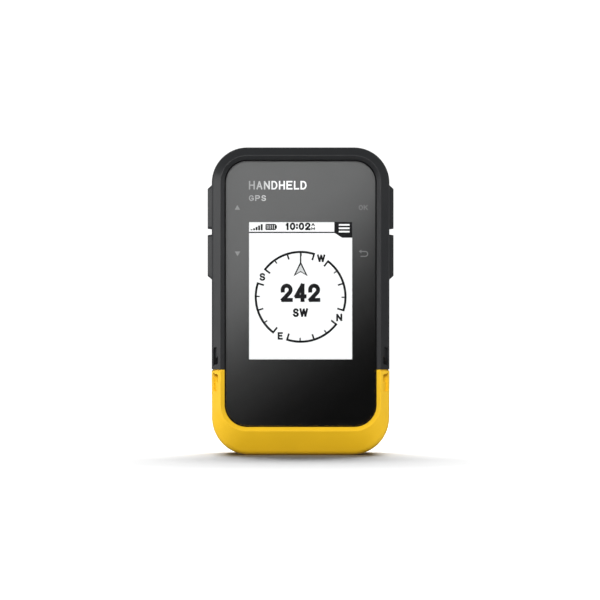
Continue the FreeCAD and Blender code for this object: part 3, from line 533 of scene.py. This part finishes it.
def lettering(shapes, text, x, z, weight, gap=0.5):
    """Text that fills the box x by z, with strokes of the given weight."""
    shares = [WIDTHS.get(letter, 1.0) for letter in text]
    free = x[1] - x[0] - weight * gap * (len(text) - 1)
    unit = free / sum(shares)
    left = x[0]
    for letter, share in zip(text, shares):
        wide = unit * share
        foot_x, foot_z = left + weight / 2, z[0] + weight / 2
        run_x, run_z = wide - weight, z[1] - z[0] - weight
        for line in GLYPHS[letter]:
            stroke(shapes, [(foot_x + u * run_x, foot_z + v * run_z) for u, v in line], weight)
        left += wide + weight * gap


# ---- lens print and display ---------------------------------------------------------------
# Print places are read from the front, with X to the right and Z up from the foot.
LENS_LOW, LENS_HIGH = mm("front_lens")
LENS_CORNER = 7.0
SCREEN = ((-17.0, 17.0), (31.63, 76.88))
INK_Y = (LENS_HIGH.y - 0.03, LENS_HIGH.y - 0.01)
PRINT_Y = (LENS_HIGH.y - 0.06, LENS_HIGH.y - 0.035)


def ring(outer, inner, y0, y1):
    """Flat closed frame between two outlines with the same number of points."""
    bm = bmesh.new()
    order = [(y, points) for y in (y0, y1) for points in (outer, inner)]
    a, b, c, d = [[bm.verts.new((x, y, z)) for x, z in points] for y, points in order]
    count = len(a)
    for i in range(count):
        j = (i + 1) % count
        for left, right in ((a, b), (d, c), (c, a), (b, d)):
            bm.faces.new((left[i], left[j], right[j], right[i]))
    return bm


def lens_outline(grow):
    """The pane's outline, grown or shrunk all round."""
    x = (LENS_LOW.x - grow, LENS_HIGH.x + grow)
    z = (LENS_LOW.z - grow, LENS_HIGH.z + grow)
    return rounded(x, z, LENS_CORNER + grow, 16)


def lens_print():
    """Mask behind the lens that leaves the display's window clear, and the words and key signs."""
    # The black mask's material carries a painted reflection, grey at the top left and black at the
    # bottom right.
    mask = ring(lens_outline(-0.02), rounded(*SCREEN, 0.15, 16), *INK_Y)
    add("ink_mask", mask, PAINTED_REFLECTION_INK, "case")
    shapes = []
    lettering(shapes, "HANDHELD", (-17.05, 1.95), (87.65, 90.45), 0.46, 1.1)
    lettering(shapes, "GPS", (-17.05, -11.4), (83.85, 85.75), 0.34, 1.4)
    add("title_print", plate(shapes, *PRINT_Y), WHITE_PRINT_AND_SHEEN, "case")
    up = [(-21.75, 80.95), (-19.95, 80.95), (-20.85, 82.5)]
    down = [(-21.7, 67.2), (-19.9, 67.2), (-20.8, 65.65)]
    shapes = [up, down]
    lettering(shapes, "OK", (19.15, 22.15), (80.85, 82.55), 0.36, 0.6)
    bend, reach, weight = (21.3, 66.4), 0.8, 0.34
    for z in (bend[1] + reach, bend[1] - reach):
        bar(shapes, (19.75, z), (bend[0], z), weight)
    arc(shapes, bend, reach, weight, 0, 180, 14)
    shapes.append([(19.2, 67.2), (20.05, 67.85), (20.05, 66.55)])
    add("key_legends", plate(shapes, *PRINT_Y), PRINT_GREY, "case")


def lens_groove_shade():
    """Black bead in the groove round the lens, a little below its face: painted shade that makes the
    groove read black.
    """
    bm = ring(lens_outline(0.36), lens_outline(0.01), LENS_LOW.y + 0.30, LENS_HIGH.y - 0.05)
    add("lens_groove_shade", bm, GROOVE_SHADE, "case")


lens_print()
lens_groove_shade()

GLASS_FRONT = mm("display_glass")[0].y
PAGE_Y = (GLASS_FRONT - 0.035, GLASS_FRONT - 0.005)
MARK_Y = (GLASS_FRONT - 0.055, GLASS_FRONT - 0.036)
TOP_Y = (GLASS_FRONT - 0.075, GLASS_FRONT - 0.056)
DIAL = (0.0, 52.24)
DIAL_R = 14.8
RING_WIDTH = 0.74
# Where north falls on the dial, clockwise from the top.
NORTH = 117.6
# Turn from a letter, length and width of the ticks in each quarter.
TICKS = ((10, 2.4, 0.58), (80, 2.4, 0.58), (45, 2.2, 0.54), (27, 1.6, 0.44), (63, 1.6, 0.44))
# Letter, centre, half width, half height and stroke.
LETTERS = (("W", 6.78, 64.93, 1.36, 1.28, 0.62), ("N", 12.74, 45.43, 1.0, 1.24, 0.62),
           ("E", -6.73, 39.36, 0.84, 1.24, 0.60), ("S", -12.61, 58.82, 0.94, 1.28, 0.58))


def dial(shapes):
    """Compass ring with a gap at each letter, and its ticks."""
    for quarter in range(4):
        start = NORTH + 90 * quarter
        arc(shapes, DIAL, DIAL_R, RING_WIDTH, start + 9.2, start + 80.8)
        for turn, length, width in TICKS:
            a = math.radians(start + turn)
            way = Vector((math.sin(a), math.cos(a)))
            foot = Vector(DIAL) + way * (DIAL_R + 0.3)
            bar(shapes, foot, foot - way * length, width)
    for letter, x, z, wide, tall, weight in LETTERS:
        lettering(shapes, letter, (x - wide, x + wide), (z - tall, z + tall), weight)


def status_row(shapes):
    """Signal bars, cell gauge, clock, menu tab and the rule under them."""
    foot = 74.2
    for i, tall in enumerate((0.34, 0.66, 1.12, 1.55, 2.02)):
        x = -16.5 + 0.84 * i
        block(shapes, (x, x + 0.62), (foot, foot + tall))
    shapes.append(rounded((-11.6, -8.15), (74.28, 76.28), 0.3))
    block(shapes, (-8.2, -7.82), (74.75, 75.8))
    lettering(shapes, "10:02", (-4.95, 3.28), (74.25, 76.75), 0.62, 0.36)
    lettering(shapes, "A", (3.56, 4.66), (75.60, 76.55), 0.27)
    lettering(shapes, "M", (3.50, 4.74), (74.28, 75.2), 0.26)
    bar(shapes, (-17.0, 73.50), (11.4, 73.50), 0.42)
    tab = [(11.12, 76.95), (11.12, 73.39), (13.70, 71.74), (17.05, 71.74), (17.05, 76.95)]
    shapes.append(tab)


def white_strokes():
    """The menu's three lines and the bars of the cell gauge."""
    shapes = [rounded((12.59, 16.16), (z, z + 0.55), 0.1, 4) for z in (75.71, 74.59, 73.47)]
    for i in range(5):
        x = -11.12 + 0.6 * i
        block(shapes, (x, x + 0.16), (74.62, 75.94))
    return shapes


def display():
    """Page, dark marks, the grey of the pointer, and the white strokes inside dark marks."""
    page = []
    block(page, (-17.4, 17.4), (31.25, 77.3))
    add("display_page", plate(page, *PAGE_Y), PAGE, "case")
    shapes = []
    dial(shapes)
    status_row(shapes)
    lettering(shapes, "242", (-6.65, 6.49), (50.55, 56.60), 1.34, 0.34)
    lettering(shapes, "SW", (-2.55, 2.46), (45.58, 48.46), 0.68, 0.30)
    bar(shapes, (0.0, 67.05), (0.0, 63.3), 0.48)
    shapes.append([(0.0, 64.0), (-2.35, 59.05), (0.0, 60.40), (2.35, 59.05)])
    add("display_marks", plate(shapes, *MARK_Y), MARK, "case")
    pointer = [[(0.0, 62.90), (-1.58, 59.78), (0.0, 60.76), (1.58, 59.78)]]
    add("display_half_tone", plate(pointer, *TOP_Y), MIST, "case")
    add("display_whites", plate(white_strokes(), *TOP_Y), PAGE, "case")


display()


# ---- cells, contacts and marks ------------------------------------------------------------
def tube(bm, x, y, z, inner, outer, steps=64):
    """Open sleeve round a cell, as a closed thin solid."""
    turns = [2 * math.pi * i / steps for i in range(steps)]
    rings = []
    for level in z:
        for radius in (inner, outer):
            places = [(x + radius * math.cos(a), y + radius * math.sin(a), level) for a in turns]
            rings.append([bm.verts.new(place) for place in places])
    foot_in, foot_out, top_in, top_out = rings
    for i in range(steps):
        j = (i + 1) % steps
        for a, b in ((foot_out, top_out), (top_out, top_in), (top_in, foot_in), (foot_in, foot_out)):
            bm.faces.new((a[i], a[j], b[j], b[i]))


def cell_wraps():
    """Printed sleeves: a dark body and a copper band at the positive end."""
    bare_minus, bare_plus, band, seam = 1.0, 2.2, 12.0, 0.05
    for name, plus_up in (("aa_cell_left", True), ("aa_cell_right", False)):
        low, high = mm(name)
        x, y = (low.x + high.x) / 2, (low.y + high.y) / 2
        radius = (high.x - low.x) / 2
        if plus_up:
            foot, top = low.z + bare_minus, high.z - bare_plus
            split, lower, upper = top - band, SLEEVE, COPPER
        else:
            foot, top = low.z + bare_plus, high.z - bare_minus
            split, lower, upper = foot + band, COPPER, SLEEVE
        wraps = ((foot, split - seam, lower), (split + seam, top, upper))
        for k, (z0, z1, material) in enumerate(wraps):
            bm = bmesh.new()
            tube(bm, x, y, (z0, z1), radius + 0.005, radius + 0.06)
            add(f"{name}_wrap_{k}", bm, material, "case")


# Front to back places of the battery bay's floor and of the cover's outer face.
BAY_FLOOR_Y = -4.6
COVER_FACE_Y = 12.7
# Middle of the bay from foot to top, and each cell's distance from the centre line.
BAY_MIDDLE = 52.5
CELL_X = 7.55
# The latch's axis in X and Z.
LATCH = Vector((0, 17.8))


def bay_marks():
    """Moulded polarity signs and cell outlines on the floor of the battery bay."""
    arm, weight = 1.8, 0.7
    shapes = []
    for x, lift in ((-CELL_X, 19.5), (CELL_X, -19.5)):
        plus, minus = BAY_MIDDLE + lift, BAY_MIDDLE - lift
        bar(shapes, (x - arm, plus), (x + arm, plus), weight)
        bar(shapes, (x, plus - arm), (x, plus + arm), weight)
        bar(shapes, (x - arm, minus), (x + arm, minus), weight)
        loop = rounded((x - 5.2, x + 5.2), (BAY_MIDDLE - 22, BAY_MIDDLE + 22), 1.2, 5)
        for a, b in zip(loop, loop[1:] + loop[:1]):
            if (Vector(a) - Vector(b)).length > 1e-4:
                bar(shapes, a, b, 0.28)
    bm = plate(shapes, BAY_FLOOR_Y, BAY_FLOOR_Y + 0.12)
    add("bay_marks", bm, RAISED, "case")


def latch_marks():
    """Pale padlock signs beside the latch, and the arrows that say which way it turns."""
    sweep, weight = 12.4, 0.34
    shapes = []
    for side, lift in ((-1, 0.0), (1, 0.75)):
        x, z = 13.6 * side, LATCH.y + 4.4
        shapes.append(rounded((x - 1.0, x + 1.0), (z - 0.8, z + 0.7), 0.25, 4))
        arc(shapes, (x, z + 0.7 + lift), 0.66, 0.32, -90, 90, 14)
        for leg in (-0.66, 0.66):
            foot = z + 0.6 if leg < 0 or not lift else z + 1.15
            bar(shapes, (x + leg, foot), (x + leg, z + 0.72 + lift), 0.32)
        arc(shapes, LATCH, sweep, weight, 28 * side, 58 * side, 18)
        a = math.radians(60 * side)
        out = Vector((math.sin(a), math.cos(a)))
        tip = LATCH + out * sweep
        way = Vector((out.y, -out.x)) * side
        shapes.append([tuple(tip + way * 1.1), tuple(tip - out * 0.8), tuple(tip + out * 0.8)])
    bm = plate(shapes, COVER_FACE_Y, COVER_FACE_Y + 0.035)
    add("latch_marks", bm, PAINT, "battery_cover")


def port_contacts():
    """Two rows of gold fingers on the port's tongue."""
    low, high = mm("usb_tongue")
    middle = (low.z + high.z) / 2
    shapes = []
    for face in (middle - 0.36, middle + 0.36):
        for i in range(12):
            x = (i - 5.5) * 0.5
            block(shapes, (x - 0.13, x + 0.13), (face - 0.025, face + 0.025))
    add("port_contacts", plate(shapes, high.y - 3.2, high.y - 0.25), GOLD, "case")


def islands(name):
    """Boxes, in millimetres, of the separate solids in one CAD node."""
    obj = NODES[name]
    bm = bmesh.new()
    bm.from_mesh(obj.data)
    bm.transform(obj.matrix_world)
    bmesh.ops.remove_doubles(bm, verts=bm.verts, dist=1e-6)
    left = set(bm.verts)
    found = []
    while left:
        stack = [left.pop()]
        group = []
        while stack:
            v = stack.pop()
            group.append(v.co / MM)
            for edge in v.link_edges:
                other = edge.other_vert(v)
                if other in left:
                    left.remove(other)
                    stack.append(other)
        low, high = [Vector([pick(c[i] for c in group) for i in range(3)]) for pick in (min, max)]
        found.append((low, high))
    bm.free()
    return sorted(found, key=lambda b: (round(b[0].x, 3), round(b[0].z, 3)))


def component_leads():
    """Tinned feet of the chips, and solder at the ends of the small parts."""
    bm = bmesh.new()
    chip, pitch, clear = 2.4, 0.65, 0.01
    for low, high in islands("board_components"):
        feet, ends = [], []
        wide, tall = high.x - low.x, high.z - low.z
        if min(wide, tall) > chip:
            for i in range(int((tall - 0.6) / pitch) + 1):
                z = low.z + 0.45 + pitch * i
                block(feet, (low.x - 0.45, low.x - clear), (z - 0.14, z + 0.14))
                block(feet, (high.x + clear, high.x + 0.45), (z - 0.14, z + 0.14))
        elif wide > tall:
            block(ends, (low.x - 0.3, low.x - clear), (low.z, high.z))
            block(ends, (high.x + clear, high.x + 0.3), (low.z, high.z))
        else:
            block(ends, (low.x, high.x), (low.z - 0.3, low.z - clear))
            block(ends, (low.x, high.x), (high.z + clear, high.z + 0.3))
        for shapes, thick in ((feet, 0.18), (ends, 0.35)):
            if shapes:
                plate(shapes, low.y, low.y + thick, bm)
    add("component_leads", bm, SOLDER, "case")


# The back slopes forward at the top. The port's cap lies on that slope, in a pocket round CAP_PLACE.
SLOPE = math.atan(0.5)
CAP_PLACE = Vector((0, 8.6, 91.0))
STRAP_START, STRAP_END = 6.27, 9.36
STRAP_HALF = 2.95


def strap_depth(s, u):
    """Depth of the strap's outer face, s along it and u across it: ribbed, with soft edges."""
    rib = 0.0
    if 6.6 < s < 8.6:
        rib = 0.10 * (0.5 - 0.5 * math.cos(2 * math.pi * (s - STRAP_START) / 0.78))
    return -0.38 - rib - 0.10 * u ** 8


def strap_sheet(bm, up, out, along, across, depth):
    """Grid of points at the depth that depth(s, u) gives."""
    sheet = []
    for i in range(along + 1):
        s = STRAP_START + (STRAP_END - STRAP_START) * i / along
        half = STRAP_HALF - 0.35 * max(0.0, (s - 8.7) / 0.66) ** 2
        row = []
        for j in range(across + 1):
            u = -1 + 2 * j / across
            place = Vector((u * half, 0, 0)) + CAP_PLACE + up * s + out * depth(s, u)
            row.append(bm.verts.new(place))
        sheet.append(row)
    return sheet


def cap_strap():
    """Ribbed silicone strap of the port's cap."""
    up = Vector((0, -math.sin(SLOPE), math.cos(SLOPE)))
    out = Vector((0, math.cos(SLOPE), math.sin(SLOPE)))
    along, across = 30, 10
    bm = bmesh.new()
    low = strap_sheet(bm, up, out, along, across, lambda s, u: -1.28)
    high = strap_sheet(bm, up, out, along, across, strap_depth)
    for sheet in (low, high):
        for i in range(along):
            for j in range(across):
                bm.faces.new((sheet[i][j], sheet[i][j + 1], sheet[i + 1][j + 1], sheet[i + 1][j]))
    for i in range(along):
        for j in (0, across):
            bm.faces.new((low[i][j], low[i + 1][j], high[i + 1][j], high[i][j]))
    for j in range(across):
        for i in (0, along):
            bm.faces.new((low[i][j], low[i][j + 1], high[i][j + 1], high[i][j]))
    strap = add("port_cap_strap", bm, SILICONE, None)
    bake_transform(strap)
    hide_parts("usb_cap_strap")


cell_wraps()
bay_marks()
latch_marks()
port_contacts()
component_leads()
cap_strap()


# ---- studio -------------------------------------------------------------------------------
VIEW_DISTANCE = 1.1
VIEW_WIDTH = 0.1978
FRONT_Y = -0.0145
SENSOR = 36.0
SIDE_BOX = (0.12, 0.22)


def stage_camera():
    """Camera level with the middle of the object, straight in front of it."""
    data = bpy.data.cameras.new("camera")
    camera = bpy.data.objects.new("camera", data)
    bpy.context.scene.collection.objects.link(camera)
    camera.location = (-0.0002, FRONT_Y - VIEW_DISTANCE, 0.0512)
    camera.rotation_euler = (math.pi / 2, 0, 0)
    data.sensor_width = SENSOR
    data.lens = SENSOR * VIEW_DISTANCE / VIEW_WIDTH
    data.clip_start, data.clip_end = 0.01, 20.0
    bpy.context.scene.camera = camera


def surroundings():
    """White behind everything, and a dimmer, slightly cool light from all round."""
    world = bpy.data.worlds.new("world")
    world.use_nodes = True
    bpy.context.scene.world = world
    nt = world.node_tree
    nt.nodes.clear()
    out = nt.nodes.new("ShaderNodeOutputWorld")
    back = node(nt, "ShaderNodeBackground", Color=(1, 1, 1, 1), Strength=1.1)
    light = node(nt, "ShaderNodeBackground", Color=(0.97, 0.985, 1, 1), Strength=0.30)
    seen = node(nt, "ShaderNodeLightPath").outputs["Is Camera Ray"]
    nt.links.new(mixed(nt, seen, light, back).outputs[0], out.inputs["Surface"])


def panel(name, place, target, size, power):
    """Soft box that faces its target."""
    data = bpy.data.lights.new(name, "AREA")
    data.shape = "RECTANGLE"
    data.size, data.size_y = size
    data.energy = power
    lamp = bpy.data.objects.new(name, data)
    bpy.context.scene.collection.objects.link(lamp)
    lamp.location = place
    lamp.rotation_euler = (Vector(target) - Vector(place)).to_track_quat("-Z", "Y").to_euler()
    return lamp


def floor_paint():
    """White paint that grows evenly bright away from the object, as a lit cyclorama does."""
    material, nt, out = tree("floor_paint")
    paint = node(nt, "ShaderNodeBsdfPrincipled", Roughness=0.9)
    paint.inputs["Specular IOR Level"].default_value = 0.0
    paint.inputs["Emission Color"].default_value = (1, 1, 1, 1)
    reach = node(nt, "ShaderNodeVectorMath", operation="LENGTH")
    nt.links.new(node(nt, "ShaderNodeTexCoord").outputs["Object"], reach.inputs[0])
    away = reading(nt, reach.outputs["Value"], 0.09, 0.45, 1.0, clamp=True)
    nt.links.new(away, paint.inputs["Emission Strength"])
    coat = ramp(nt, noise(nt, 2.0), [(0.3, (0.42,) * 3), (0.7, (0.425,) * 3)])
    nt.links.new(coat, paint.inputs["Base Color"])
    nt.links.new(paint.outputs["BSDF"], out.inputs["Surface"])
    return material


def sheet(name, corners, material):
    """Flat piece of the studio."""
    data = bpy.data.meshes.new(name)
    data.from_pydata(corners, [], [(0, 1, 2, 3)])
    obj = bpy.data.objects.new(name, data)
    bpy.context.scene.collection.objects.link(obj)
    dress(obj, material)
    return obj


def studio_floor():
    """Floor just under the object. Reflections leave it out."""
    ground = sheet("floor", [(-6, -6, 0), (6, -6, 0), (6, 6, 0), (-6, 6, 0)], floor_paint())
    ground.location.z = -0.00002
    ground.visible_glossy = False
    return ground


def dark_flag():
    """Black flag in front of the lens, seen by reflections only, so that the window stays clear."""
    y = LENS_LOW.y * MM - 0.235
    half, foot, top = 0.04, 0.0005, 0.125
    cloth = finish_of("flag_cloth", (0.004, 0.004, 0.004), 0.95, 900, 0.05, 0.2, 60, 0.0)
    corners = [(-half, y, foot), (half, y, foot), (half, y, top), (-half, y, top)]
    flag = sheet("dark_flag", corners, cloth)
    flag.visible_camera = False
    flag.visible_diffuse = False
    flag.visible_transmission = False
    flag.visible_shadow = False


def share_light(ground, boxes, overhead):
    """The floor has its own overhead box, and the boxes that light the object leave it alone."""
    for lamp, state in [(box, "EXCLUDE") for box in boxes] + [(overhead, "INCLUDE")]:
        group = bpy.data.collections.new("light_" + lamp.name)
        group.objects.link(ground)
        group.collection_objects[0].light_linking.link_state = state
        lamp.light_linking.receiver_collection = group


def studio():
    """Camera, surroundings, lamps, floor and flag."""
    bpy.context.scene.view_settings.view_transform = "Standard"
    stage_camera()
    surroundings()
    middle = (0, 0, 0.05)
    boxes = [
        panel("front_box", (-0.09, -0.86, 0.42), middle, (0.5, 0.3), 8.4),
        panel("left_box", (-0.45, 0.06, 0.10), middle, SIDE_BOX, 0.29),
        panel("left_fill", (-0.45, -0.11, 0.10), middle, SIDE_BOX, 0.26),
        panel("right_fill", (0.45, -0.13, 0.10), middle, SIDE_BOX, 0.15),
    ]
    overhead = panel("floor_box", (0.0, 0.34, 0.50), (0, -0.03, 0), (0.75, 0.5), 18.6)
    share_light(studio_floor(), boxes, overhead)
    dark_flag()


studio()
